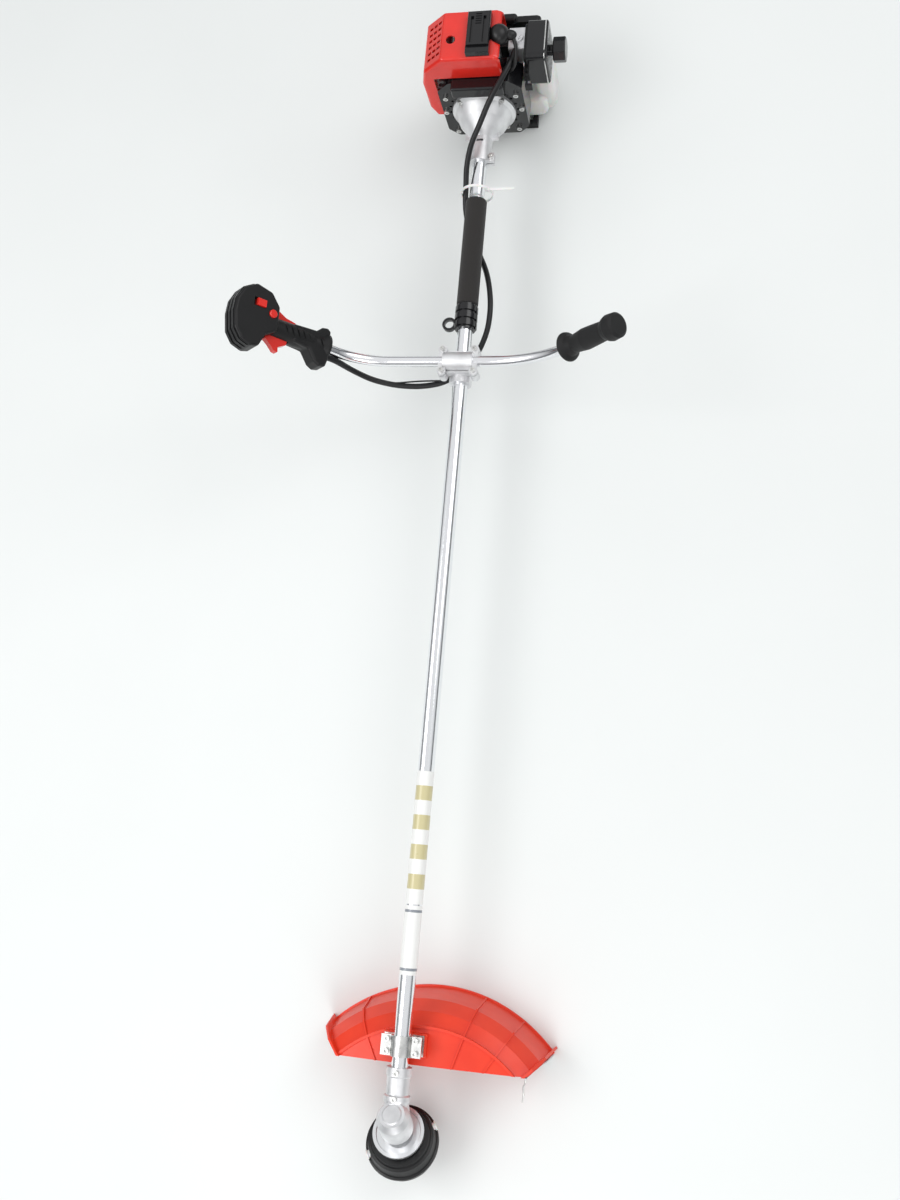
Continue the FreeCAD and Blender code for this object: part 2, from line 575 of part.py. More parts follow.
def make_gearbox():
    collar = turned([("box_start", "tube_radius"), ("box_start", "box_ring_radius"),
                     ("box_start + 12", "box_ring_radius"), ("box_start + 14", "box_radius"),
                     ("box_start + 38", "box_radius"), ("box_start + 40", "box_ring_radius + 1"),
                     ("box_start + 46", "box_ring_radius + 1"), ("box_start + 50", "box_radius + 1"),
                     ("corner_x - 8", "box_body_radius - 3"), ("corner_x - 8", 0),
                     ("tube_end", 0), ("tube_end", "tube_radius")])
    collar.Placement = SHAFT.multiply(collar.Placement)
    body = turned([("box_top", 0), ("box_top", 13), ("box_top + 2", "15"),
                   ("box_top + 2", "box_body_radius - 6"), ("-18", "box_body_radius"),
                   ("box_floor - 10", "box_body_radius"), ("box_floor", "box_body_radius - 4"),
                   ("box_floor", 0)])
    body.Placement = HEAD.multiply(body.Placement)
    ball = doc.addObject("Part::Sphere", "elbow")
    drive(ball, Radius="box_body_radius - 1")
    ball.Placement = SHAFT.multiply(Placement(point("corner_x", 0, 0), Rotation()))
    caves = [turned([("box_start + 20", 0), ("box_start + 20", "core_radius + 0.6"),
                     ("corner_x - 24", "core_radius + 0.6"), ("corner_x - 24", "11.5"),
                     ("corner_x - 6", "11.5"), ("corner_x - 6", 0)])]
    caves[0].Placement = SHAFT.multiply(caves[0].Placement)
    drum = turned([("-16", 0), ("-16", "17"), ("14", "17"), ("14", "spindle_radius + run_gap"),
                   ("box_floor + 1", "spindle_radius + run_gap"), ("box_floor + 1", 0)])
    drum.Placement = HEAD.multiply(drum.Placement)
    seats = []
    for place in ("box_start + 7", "box_start + 43"):
        seats.append(rod((place, 0, "box_ring_radius - 4"), "z", "screw_radius + 0.1", 6))
        seats.append(rod((place, 0, "box_ring_radius"), "z", "screw_head_radius + 0.6", 9))
        LOOSE_SCREWS.append(screw([place, "0", "box_ring_radius"], "z", "3"))
    drill = compound(*seats)
    drill.Placement = SHAFT
    node(cut(fuse(collar, body, ball), *caves, drum, drill), "gearbox_housing", Placement())


def make_drive():
    """Drive shaft with its pinion and the clutch drum, and the spindle with its gear."""
    node(rod(("drum_floor + 6", 0, 0), "x", "core_radius", "corner_x - 24 - drum_floor - 6"),
         "drive_shaft")
    pinion = turned([("corner_x - 24", 0), ("corner_x - 24", 9), ("corner_x - 16", 9),
                     ("corner_x - 14", 4), ("corner_x - 14", 0)])
    node(pinion, "pinion")
    drum = turned([("drum_start", "drum_radius - drum_wall"), ("drum_start", "drum_radius"),
                   ("drum_floor + 3", "drum_radius"), ("drum_floor + 3", "drum_hub"),
                   ("drum_floor + 6", "drum_hub"), ("drum_floor + 6", 0), ("drum_floor", 0),
                   ("drum_floor", "drum_radius - drum_wall")])
    node(drum, "clutch_drum")
    spindle = turned([("-6", 0), ("-6", "spindle_radius"), ("4", "spindle_radius"),
                      ("4", 15), ("10", 15), ("10", "spindle_radius"),
                      ("knob_end - 24", "spindle_radius"), ("knob_end - 24", 0)])
    node(spindle, "output_spindle", HEAD)


def make_head():
    flange = turned([("flange_start", "spindle_radius"), ("flange_start", 14),
                     ("flange_start + 3", 16), ("flange_start + 3", "flange_plate_radius - 6"),
                     ("flange_start + 1", "flange_plate_radius - 5"),
                     ("flange_start + 1", "flange_plate_radius"),
                     ("flange_end - 2", "flange_plate_radius"),
                     ("flange_end", "flange_plate_radius - 3"), ("flange_end", "spindle_radius")])
    node(flange, "head_flange", HEAD)
    shell = turned([("head_start", "spindle_radius"), ("head_start", "head_shoulder_radius - 3"),
                    ("head_start + 3", "head_shoulder_radius"),
                    ("head_start + 9", "head_shoulder_radius + 1"),
                    ("head_start + 10", "head_shoulder_radius + 8"),
                    ("head_start + 16", "head_shoulder_radius + 10"),
                    ("head_start + 17", "head_wide_radius - 6"),
                    ("head_skirt", "head_wide_radius - 3"), ("head_skirt + 1", "head_wide_radius"),
                    ("head_skirt + 4", "head_wide_radius"), ("head_end", "head_wide_radius - 5"),
                    ("head_end", "knob_radius + 1.5"), ("head_end - 3", "knob_radius + 1.5"),
                    ("head_end - 3", "spool_radius + 2.5"), ("head_start + 20", "spool_radius + 2.5"),
                    ("head_start + 16", "head_shoulder_radius + 3"),
                    ("head_start + 12", "head_shoulder_radius - 4"),
                    ("head_start + 4", "spindle_radius + 4"),
                    ("head_start + 4", "spindle_radius")])
    slots = []
    for number in range(12):
        slot = box(("head_skirt + 7", "head_wide_radius - 14", -5),
                   ("head_skirt + 13", "head_wide_radius + 4", 5))
        slots.append(turned_about(slot, X, 30 * number + 15))
    ports = [turned_about(rod(("head_skirt - 6", 0, "spool_radius - 2"), "z", "eyelet_radius",
                              "14"), X, turn) for turn in (60, 240)]
    ports += [turned_about(rod(("head_skirt - 6", 0, "head_wide_radius - 2"), "z",
                               "eyelet_radius + 2.4", "8"), X, turn) for turn in (60, 240)]
    node(cut(shell, *slots, *ports), "trimmer_head", HEAD)
    eyes = []
    for turn in (60, 240):
        eye = cut(fuse(rod(("head_skirt - 6", 0, "spool_radius + 3"), "z", "eyelet_radius", "7.5"),
                       rod(("head_skirt - 6", 0, "head_wide_radius - 2"), "z",
                           "eyelet_radius + 1.5", "2")),
                  rod(("head_skirt - 6", 0, "spool_radius - 2"), "z", "2.2", "16"))
        eyes.append(turned_about(eye, X, turn))
    node(compound(*eyes), "line_eyelets", HEAD)
    spool = turned([("head_start + 26", "spindle_radius + 1"), ("head_start + 26", "spool_radius"),
                    ("head_start + 29", "spool_radius"), ("head_start + 29", "20"),
                    ("head_end - 12", "20"), ("head_end - 12", "spool_radius"),
                    ("head_end - 9", "spool_radius"), ("head_end - 9", "knob_radius - 2"),
                    ("knob_end - 4", "knob_radius - 1"), ("knob_end", "knob_radius - 8"),
                    ("knob_end", 0), ("knob_end - 14", 0), ("knob_end - 14", "spindle_radius + 1")])
    node(spool, "bump_spool", HEAD)


# ---------------------------------------------------------------- guard

def guard_sweep(profile):
    """A piece of the guard: a radial profile swept about the guard's own upright axis."""
    body = doc.addObject("PartDesign::Body", "guard_shell")
    sketch = outline(body, profile, "XZ_Plane")
    doc.recompute()
    turn = body.newObject("PartDesign::Revolution", "sweep")
    turn.Profile = sketch
    turn.ReferenceAxis = (sketch, ["V_Axis"])
    drive(turn, Angle="guard_right_angle - guard_left_angle")
    body.Tip = turn
    doc.recompute()
    middle = body.Shape.BoundBox.Center
    now = math.degrees(math.atan2(middle.y, middle.x))
    wanted = 180 - (size("guard_right_angle") + size("guard_left_angle")) / 2
    body.Placement = Placement(point("guard_x", "guard_y", 0), Rotation(Z, wanted - now))
    return body


def make_guard():
    t = "guard_wall"
    shell = guard_sweep([("guard_inner_radius", "guard_inner_z"),
                         ("guard_shoulder_radius", "guard_shoulder_z"),
                         ("guard_shoulder_radius + 22", "guard_shoulder_z - 14"),
                         ("guard_shoulder_radius + 38", "guard_shoulder_z - 36"),
                         ("guard_rim_radius", "guard_rim_z"),
                         (f"guard_rim_radius - {t}", "guard_rim_z"),
                         ("guard_shoulder_radius + 35", "guard_shoulder_z - 37"),
                         ("guard_shoulder_radius + 20", "guard_shoulder_z - 17"),
                         ("guard_shoulder_radius", f"guard_shoulder_z - {t}"),
                         ("guard_inner_radius", f"guard_inner_z - {t}")])
    rim = guard_sweep([("guard_rim_radius - 4", "guard_rim_z"),
                       ("guard_rim_radius + 2", "guard_rim_z"),
                       ("guard_rim_radius + 2", "guard_rim_z + 5"),
                       ("guard_rim_radius - 4", "guard_rim_z + 5")])
    band = guard_sweep([("guard_shoulder_radius - 2", "guard_shoulder_z - 2"),
                        ("guard_shoulder_radius + 2", "guard_shoulder_z - 2"),
                        ("guard_shoulder_radius + 2", "guard_shoulder_z + 3"),
                        ("guard_shoulder_radius - 2", "guard_shoulder_z + 3")])
    ribs = []
    for angle, half, proud in ((-43.4, 1.5, 7), (-28, 1.2, 0), (17, 1.2, 0), (33, 1.2, 0),
                               (47, 2, 8)):
        rib = pad([("0 - guard_inner_radius", "guard_inner_z - 1"),
                   ("0 - guard_shoulder_radius", "guard_shoulder_z - 1"),
                   ("0 - guard_shoulder_radius - 22", "guard_shoulder_z - 16"),
                   ("0 - guard_shoulder_radius - 38", "guard_shoulder_z - 38"),
                   ("0 - guard_rim_radius + 1", "guard_rim_z + 1"),
                   (f"0 - guard_rim_radius - 2 - {proud}", "guard_rim_z + 1"),
                   (f"0 - guard_shoulder_radius - 41 - {proud}", "guard_shoulder_z - 33"),
                   (f"0 - guard_shoulder_radius - 24 - {proud} / 2", f"guard_shoulder_z - 11 + {proud}"),
                   ("0 - guard_shoulder_radius", f"guard_shoulder_z + 3 + {proud}"),
                   ("0 - guard_inner_radius", f"guard_inner_z + 3 + {proud}")],
                  0 - half, half, "XZ_Plane")
        rib = turned_about(rib, Z, -angle)
        rib.Placement = Placement(point("guard_x", "guard_y", 0), Rotation()).multiply(rib.Placement)
        ribs.append(rib)
    end = box(("guard_edge_x", "-200", "-200"), ("guard_edge_x + 200", "400", "50"))
    tube_way = rod(("guard_edge_x - 120", 0, 0), "x", "tube_radius + 2", "200")
    seat = box(("bracket_x - bracket_length / 2 - 2", "0 - bracket_width / 2 - 3", "guard_inner_z - 9"),
               ("bracket_x + bracket_length / 2 + 2", "bracket_width / 2 + 3", "0 - tube_radius - 6"))
    above = box(("bracket_x - 60", "-60", "0 - tube_radius - 6"), ("bracket_x + 60", "60", "40"))
    holes = [rod((f"bracket_x + {a} * bracket_hole_x", f"{b} * bracket_hole_y", "-40"), "z",
                 "screw_radius + 0.2", "60")
             for a in (-1, 1) for b in (-1, 1)]
    node(cut(fuse(shell, rim, band, *ribs, seat), end, tube_way, above, *holes), "guard")


def make_guard_bracket():
    """Two pressed plates clamp the tube, with four screws down into the guard."""
    foot = "0 - tube_radius - 6"
    plate = box(("bracket_x - bracket_length / 2", "0 - bracket_width / 2", foot),
                ("bracket_x + bracket_length / 2", "bracket_width / 2", f"{foot} + 5.5"))
    saddle = rod(("bracket_x - bracket_length / 2", 0, 0), "x", "tube_radius + bracket_thick",
                 "bracket_length")
    lower = box(("bracket_x - 40", "-40", "-40"), ("bracket_x + 40", "40", "-1"))
    node(cut(fuse(plate, common(saddle, lower)), *bracket_ways()), "guard_bracket_base")
    cover = rod(("bracket_x - bracket_length / 2", 0, 0), "x", "tube_radius + bracket_thick",
                "bracket_length")
    upper = box(("bracket_x - 40", "-40", "1"), ("bracket_x + 40", "40", "40"))
    wings = box(("bracket_x - bracket_length / 2", "0 - bracket_width / 2", "1"),
                ("bracket_x + bracket_length / 2", "bracket_width / 2", "5"))
    node(cut(fuse(common(cover, upper), wings), *bracket_ways()), "guard_bracket_cap")
    node(compound(*[screw([f"bracket_x + {a} * bracket_hole_x", f"{b} * bracket_hole_y", "5"], "z", "28")
                    for a in (-1, 1) for b in (-1, 1)]), "guard_screws")


def bracket_ways():
    """What both plates are drilled with: the tube's bore and the four screw holes."""
    return [rod(("bracket_x - bracket_length", 0, 0), "x", "tube_radius", "2 * bracket_length"),
            *[rod((f"bracket_x + {a} * bracket_hole_x", f"{b} * bracket_hole_y", "-40"), "z",
                  "screw_radius", "60")
              for a in (-1, 1) for b in (-1, 1)]]


def make_line_cutter():
    """The blade that trims the line, against the guard's +Y end."""
    blade = pad([("0 - guard_rim_radius + 1", "guard_rim_z + 1"),
                 ("0 - guard_rim_radius + 26", "guard_rim_z + 1"),
                 ("0 - guard_rim_radius + 26", "guard_rim_z + 12"),
                 ("0 - guard_rim_radius + 9", "guard_rim_z + 52"),
                 ("0 - guard_rim_radius + 5", "guard_rim_z + 52")],
                -2, -0.4, "XZ_Plane")
    blade = turned_about(blade, Z, -size("guard_right_angle"))
    blade.Placement = Placement(point("guard_x", "guard_y", 0), Rotation()).multiply(blade.Placement)
    node(blade, "line_cutter")


# ---------------------------------------------------------------- engine

def make_clutch_housing():
    """Cast bell: a split clamp on the tube, a cone, and a flange on the fan cover."""
    bell = turned([("collar_start", "mouth_radius"), (0, "mouth_radius"), (0, 0),
                   ("housing_face", 0), ("housing_face", "flange_radius"),
                   ("housing_face + 6", "flange_radius"), ("cone_start + 3", "cone_radius"),
                   ("cone_start + 22", "cone_radius - 9"), ("collar_start - 8", "mouth_radius + 5")])
    lug = box(("0 - lug_length", "0 - lug_width / 2", "0 - lug_height / 2"),
              (0, "lug_width / 2", "lug_height / 2"))
    ribs = [turned_about(box(("cone_start + 2", -1.5, 0), ("collar_start", 1.5, "mouth_radius + 11")),
                         X, turn) for turn in (0, 90, 180, 270)]
    cave = turned([("housing_face - 1", 0), ("housing_face - 1", "drum_cave_radius"),
                   ("drum_cave_end - 6", "drum_cave_radius"), ("drum_cave_end", "drum_cave_radius - 12"),
                   ("drum_cave_end", "15"), ("tube_start", "15"), ("tube_start", "tube_radius"),
                   (1, "tube_radius"), (1, 0)])
    split = box(("0 - lug_length - 4", "tube_radius - 3", "0 - split_width / 2"),
                (1, "lug_width", "split_width / 2"))
    window = box(("collar_start + 8", -6, "tube_radius - 1"), ("collar_start + 12", 6, 40))
    screw_way = [rod(("0 - lug_length / 2", f"{w} * (lug_width / 2 - 5.5)", -20), "z",
                     "screw_radius", 40) for w in (-1, 1)]
    seats = [rod(("0 - lug_length / 2", f"{w} * (lug_width / 2 - 5.5)", "lug_height / 2"),
                 "z",
                 "screw_head_radius + 0.4", 9) for w in (-1, 1)]
    for turn in FLANGE_BOLT_ANGLES:
        seats.append(turned_about(rod(("housing_face + 5.5", 0, "bolt_circle"), "x",
                                      "screw_head_radius + 0.6", 16), X, turn))
        seats.append(turned_about(rod(("housing_face - 1", 0, "bolt_circle"), "x",
                                      "screw_radius + 0.1", 9), X, turn))
    node(cut(fuse(bell, lug, *ribs), cave, split, window, *screw_way, *seats), "clutch_housing")
    screws = [screw(["0 - lug_length / 2", f"{w} * (lug_width / 2 - 5.5)", "lug_height / 2"],
                    "z", "lug_height - 1") for w in (-1, 1)]
    LOOSE_SCREWS.extend(screws)


def make_rotor():
    """Crankshaft, finned flywheel and the two clutch shoes that turn with it."""
    node(turned([("crank_back", 0), ("crank_back", 6), ("case_back + 4", 6),
                 ("case_back + 4", "crank_radius"), ("shoe_end", "crank_radius"),
                 ("shoe_end", 0)]), "crankshaft")
    disc = turned([("wheel_back", "crank_radius"), ("wheel_back", "wheel_radius"),
                   ("wheel_back + wheel_web", "wheel_radius"), ("wheel_back + wheel_web", 18),
                   ("wheel_face", 15), ("wheel_face", "crank_radius")])
    vanes = [turned_about(box(("wheel_back + 1", "0 - vane_thick / 2", "wheel_radius - vane_length"),
                              ("wheel_face - 2", "vane_thick / 2", "wheel_radius - 1")), X,
                          360 * n / size("vane_count")) for n in range(int(size("vane_count")))]
    node(fuse(disc, *vanes), "flywheel_fan")
    shoes = turned([("shoe_start", "crank_radius"), ("shoe_start", "shoe_radius"),
                    ("shoe_end - 1", "shoe_radius"), ("shoe_end - 1", "crank_radius")])
    gaps = [box(("shoe_start - 1", "0 - shoe_slot / 2", "shoe_hub"),
                ("shoe_end + 1", "shoe_slot / 2", "shoe_radius + 3")),
            box(("shoe_start - 1", "0 - shoe_slot / 2", "0 - shoe_radius - 3"),
                ("shoe_end + 1", "shoe_slot / 2", "0 - shoe_hub"))]
    node(cut(shoes, *gaps), "clutch_shoes")


def make_case():
    cover = pad([("0 - cover_radius", "0 - cover_chin + 18"), ("18 - cover_radius", "0 - cover_chin"),
                 ("cover_radius - 18", "0 - cover_chin"), ("cover_radius", "18 - cover_chin"),
                 ("cover_radius", "cover_chin - 10"), ("cover_radius - 22", "cover_chin + 10"),
                 ("22 - cover_radius", "cover_chin + 10"), ("0 - cover_radius", "cover_chin - 10")],
                "cover_back", "housing_face", "YZ_Plane")
    soften(cover, 9, along(X))
    hollow = rod(("cover_back - 1", 0, 0), "x", "wheel_radius + 2.5",
                 "housing_face - cover_back - 6")
    mouth = rod(("cover_back", 0, 0), "x", "drum_cave_radius", "60")
    brow = rounded(box(("housing_face - 12", "0 - brow_half", "flange_radius + 1.5"),
                       ("housing_face + 16", "brow_half", "cover_chin + 14")), 4,
                   lambda e: e.BoundBox.XMax > size("housing_face + 15"))
    slots = [turned_about(box(("housing_face - 7", -2.2, "drum_cave_radius + 17"),
                              ("housing_face + 1", 2.2, "wheel_radius")), X, turn)
             for turn in range(15, 360, 15) if abs(turn - 180) > 20]
    holes = [rod(("housing_face - 6", y, z), "x", "screw_radius + 0.1", 8)
             for y, z in COVER_SCREW_PLACES]
    node(cut(fuse(cover, brow), hollow, mouth, *slots, *holes), "fan_cover")
    LOOSE_SCREWS.extend([screw(["housing_face", y, z], "x", "5")
                         for y, z in COVER_SCREW_PLACES])
    bolts = [turned_about(screw(["housing_face + 5.5", 0, "bolt_circle"], "x", "5"), X, turn)
             for turn in FLANGE_BOLT_ANGLES]
    LOOSE_SCREWS.extend(bolts)
    case = box(("case_back", "0 - case_half", "case_floor"), ("cover_back", "case_half", "case_top"))
    case = rounded(case, 10, along(X))
    shaft_way = rod(("case_back - 1", 0, 0), "x", "crank_radius + run_gap", "90")
    node(cut(case, shaft_way), "crankcase")
    barrel = rod(("cylinder_x", 0, "case_top"), "z", "cylinder_radius", "cylinder_top - case_top - 8")
    fins = [box(("cylinder_x - fin_half_x", "0 - fin_half_y", f"case_top + 2 + {n} * fin_pitch"),
                ("cylinder_x + fin_half_x", "fin_half_y",
                 f"case_top + 2 + {n} * fin_pitch + fin_thick"))
            for n in range(int(size("fin_count")) - 1)]
    node(fuse(barrel, *fins), "cylinder")
    plug = turned([("cylinder_top - 8", 0), ("cylinder_top - 8", 8), ("cylinder_top", 8),
                   ("cylinder_top", 4), ("plug_cover_top - 8", 4), ("plug_cover_top - 8", 0)], "z")
    plug.Placement = Placement(point("cylinder_x", 0, 0), Rotation(Y, -90))
    node(plug, "spark_plug")


def make_shroud():
    """Red moulded cover over the cylinder, open below and towards the air filter."""
    w = "shroud_wall"
    outer = pad([("shroud_left + 8", "shroud_low"), ("shroud_right", "shroud_low"),
                 ("shroud_right", "shroud_top - 6"), ("shroud_right - 10", "shroud_top"),
                 ("shroud_left + 44", "shroud_top"), ("shroud_left + 8", "shroud_top - 30"),
                 ("shroud_left", "shroud_top - 62"), ("shroud_left", "shroud_low + 20")],
                "shroud_back", "shroud_front", "YZ_Plane")
    soften(outer, 9, lambda e: along(X)(e) and e.BoundBox.ZMin > 0)
    soften(outer, 6, lambda e: e.BoundBox.XMin > size("shroud_front - shroud_back") - 0.1
           and e.BoundBox.ZMax > 40)
    inner = pad([(f"shroud_left + 8 + {w}", "shroud_low - 5"), ("shroud_right + 5", "shroud_low - 5"),
                 ("shroud_right + 5", f"shroud_top - 6 - {w}"),
                 ("shroud_right - 10", f"shroud_top - {w}"),
                 ("shroud_left + 46", f"shroud_top - {w}"),
                 (f"shroud_left + 9 + {w}", f"shroud_top - 30 - {w}"),
                 (f"shroud_left + {w}", "shroud_top - 64"), (f"shroud_left + {w}", "shroud_low + 18")],
                f"shroud_back + {w}", f"shroud_front - {w}", "YZ_Plane")
    vents = []
    for row in range(int(size("vent_rows"))):
        start = f"shroud_back + 11 + {row} * vent_pitch"
        for side in (15, 24, 33):
            vents.append(box((start, f"shroud_left + {side}", "shroud_top - 45"),
                             (f"{start} + vent_height", f"shroud_left + {side} + vent_width",
                              "shroud_top + 1")))
        vents.append(box((start, "shroud_left - 3", "shroud_low + 26"),
                         (f"{start} + vent_height", "shroud_left + 12", "shroud_top - 68")))
    front = rod(("shroud_front - 40", 0, 0), "x", "cover_chin + 2", "50")
    fan_way = box(("cover_back - 2", "0 - cover_radius - 1.5", "shroud_low - 1"),
                  ("shroud_front + 1", "shroud_right + 1", "cover_chin + 16"))
    back_way = box(("shroud_back - 1", "0 - starter_radius - 1.5", "shroud_low - 1"),
                   ("shroud_back + 8", "shroud_right + 2", 84))
    plug_way = box(("plug_cover_back + 1", "plug_cover_left + 1", "plug_cover_low"),
                   ("plug_cover_front - 1", "plug_cover_right - 1", "shroud_top + 5"))
    hole = rod(("shroud_back + 52", "shroud_left + 58", "shroud_top - 10"), "z", "8", "20")
    node(cut(outer, inner, *vents, fan_way, back_way, plug_way, hole), "engine_shroud")
    lid = box(("plug_cover_back", "plug_cover_left", "shroud_top + 0.1"),
              ("plug_cover_front", "plug_cover_right", "plug_cover_top"))
    lid = rounded(lid, 5, lambda e: e.BoundBox.ZMin > size("shroud_top + 2"))
    cups = [box(("plug_cover_back + 12", f"{y}", "plug_cover_top - 4"),
                ("plug_cover_front - 16", f"{y} + 5", "plug_cover_top + 1"))
            for y in ("plug_cover_left + 7", "plug_cover_right - 12")]
    cups += [box(("plug_cover_front - 12", "plug_cover_left - 1", "plug_cover_top - 4"),
                 ("plug_cover_front + 1", "plug_cover_right + 1", "plug_cover_top + 1"))]
    ridges = [box((f"plug_cover_back + 6 + {n} * 4.5", "plug_cover_left + 15",
                   "plug_cover_top - 1"),
                  (f"plug_cover_back + 8 + {n} * 4.5", "plug_cover_right - 15",
                   "plug_cover_top + 1.2")) for n in range(int(size("plug_cover_ribs")))]
    room = box(("cylinder_x - 9", "-7", "shroud_top - 1"),
               ("cylinder_x + 12", "12", "plug_cover_top - 5"))
    node(cut(fuse(lid, *ridges), *cups, room), "spark_plug_cover")


def make_muffler():
    body = box(("muffler_back", "muffler_left", "muffler_low"),
               ("muffler_front", "muffler_right", "muffler_top"))
    node(rounded(body, 8, along(X)), "muffler")


def make_starter():
    """Recoil starter at the back of the engine: housing, pulley, rope handle."""
    shell = turned([("case_back", 0), ("case_back", "starter_radius"),
                    ("starter_back + 10", "starter_radius"), ("starter_back + 3", "starter_radius - 7"),
                    ("starter_back", "starter_radius - 20"), ("starter_back", 0)])
    hollow = rod(("pulley_back - 3", 0, 0), "x", "pulley_radius + 3", "pulley_front - pulley_back + 6")
    shaft = rod(("crank_back - 3", 0, 0), "x", 9, "60")
    rope = rod(("pulley_front / 2 + pulley_back / 2", "pulley_radius", 0), "z", "4", "120")
    tower = box(("starter_back + 8", "20", "30"), ("case_back", "48", "handle_z - 9"))
    plate = rounded(box(("starter_back + 1", "24", "8"), ("starter_back + 13", "98", "62")), 8,
                    along(X))
    slots = [turned_about(box(("starter_back - 1", -2.5, 44), ("starter_back + 8", 2.5, 62)), X, t)
             for t in range(0, 360, 20)]
    node(cut(fuse(shell, tower, plate), hollow, shaft, rope, *slots), "starter_housing")
    node(turned([("pulley_back", 0), ("pulley_back", "pulley_radius"),
                 ("pulley_back + 3", "pulley_radius - 4"), ("pulley_front - 3", "pulley_radius - 4"),
                 ("pulley_front", "pulley_radius"), ("pulley_front", 0)]), "starter_pulley")
    middle = "pulley_front / 2 + pulley_back / 2"
    grip = rounded(box((f"{middle} - 7", "handle_y - handle_length / 2", "handle_z - 8"),
                       (f"{middle} + 7", "handle_y + handle_length / 2", "handle_z + 8")), 6,
                   lambda e: True)
    cord = rod((middle, "handle_y", "handle_z - 50"), "z", "rope_radius", "46")
    node(fuse(grip, cord), "starter_handle")


def make_intake():
    """Carburettor, its levers and primer, and the air filter with its screw knob."""
    node(box(("carb_x - 16", "insulator_near", "carb_z - 16"),
             ("carb_x + 16", "carb_near", "carb_z + 16")), "intake_insulator")
    block = rounded(box(("carb_x - carb_half_x", "carb_near", "carb_z - carb_half_z"),
                        ("carb_x + carb_half_x", "carb_far", "carb_z + carb_half_z - 4")), 3, along(Y))
    bowl = rod(("carb_x + 6", "carb_middle", "carb_z - carb_half_z - 5"), "z", "12", "5")
    barrel = rod(("carb_x", "carb_middle", "carb_z + carb_half_z - 4"), "z", "11", "4")
    recess = rod(("carb_x + 6", "carb_middle", "carb_z - carb_half_z - 6"), "z", 9.6, 6)
    node(cut(fuse(block, bowl, barrel), recess), "carburettor")
    arm = fuse(rod(("carb_x", "carb_middle", "carb_z + carb_half_z + 0.5"), "z", 7, 3),
               box(("carb_x", "carb_near + 11", "carb_z + carb_half_z + 0.5"),
                   ("carb_x + arm_length", "carb_near + 17", "carb_z + carb_half_z + 3.5")),
               rod(("carb_x + arm_length", "carb_middle", "carb_z + carb_half_z + 0.5"), "z",
                   2.5, 7))
    node(arm, "throttle_arm")
    bulb = doc.addObject("Part::Sphere", "bulb")
    drive(bulb, Radius="9")
    locate(bulb, ("carb_x + 6", "carb_middle", "carb_z - carb_half_z - 8"))
    below = box(("carb_x - 10", "carb_near - 2", "carb_z - carb_half_z - 30"),
                ("carb_x + 24", "carb_far + 2", "carb_z - carb_half_z - 5.6"))
    node(common(bulb, below), "primer_bulb")
    base = box(("filter_back + 4", "carb_far", "filter_low + 4"),
               ("filter_front - 4", "filter_plate", "filter_high - 4"))
    ear = box(("filter_front - 12", "carb_far - 2", "filter_knob_z - 7"),
              ("choke_x + 7", "filter_plate - 4.1", "filter_knob_z + 7"))
    node(fuse(rounded(base, 8, along(Y)), ear), "air_filter_base")
    node(rounded(box(("filter_back + 9", "filter_plate", "filter_low + 9"),
                     ("filter_front - 9", "filter_split + 6", "filter_high - 9")), 6, along(Y)),
         "air_filter_element")
    lid = rounded(box(("filter_back", "filter_plate", "filter_low"),
                      ("filter_front", "filter_far", "filter_high")), 10, along(Y))
    lid = rounded(lid, 4, lambda e: e.BoundBox.YMin > size("filter_far") - 0.1)
    room = box(("filter_back + 8", "filter_plate - 1", "filter_low + 8"),
               ("filter_front - 8", "filter_split + 7", "filter_high - 8"))
    bars = [box((f"filter_back + 14 + {n} * 9", "filter_far - 1.6", "filter_low + 10"),
                (f"filter_back + 17 + {n} * 9", "filter_far + 1", "filter_high - 10"))
            for n in range(7)]
    node(cut(lid, room, *bars), "air_filter_cover")
    stem = rod(("filter_knob_x", "filter_far + 0.4", "filter_knob_z"), "y", "9", "6")
    knob = doc.addObject("Part::Prism", "knob")
    drive(knob, Polygon="8", Circumradius="filter_knob_radius",
          Height="filter_knob_far - filter_far - 6")
    knob.Placement = Placement(Vector(), TURN["y"])
    locate(knob, ("filter_knob_x", "filter_far + 6", "filter_knob_z"))
    knob = rounded(knob, 2.5, lambda e: True)
    node(fuse(stem, knob), "air_filter_knob")
    lever = fuse(rod(("choke_x", "filter_plate - 4", "filter_knob_z"), "y", 5, 4),
                 box(("choke_x", "filter_plate - 3", "filter_knob_z - 3"),
                     ("choke_x + choke_length", "filter_plate", "filter_knob_z + 3")),
                 box(("choke_x + choke_length - 4", "filter_plate - 3", "filter_knob_z - 7"),
                     ("choke_x + choke_length", "filter_plate + 9", "filter_knob_z + 7")))
    node(lever, "choke_lever")


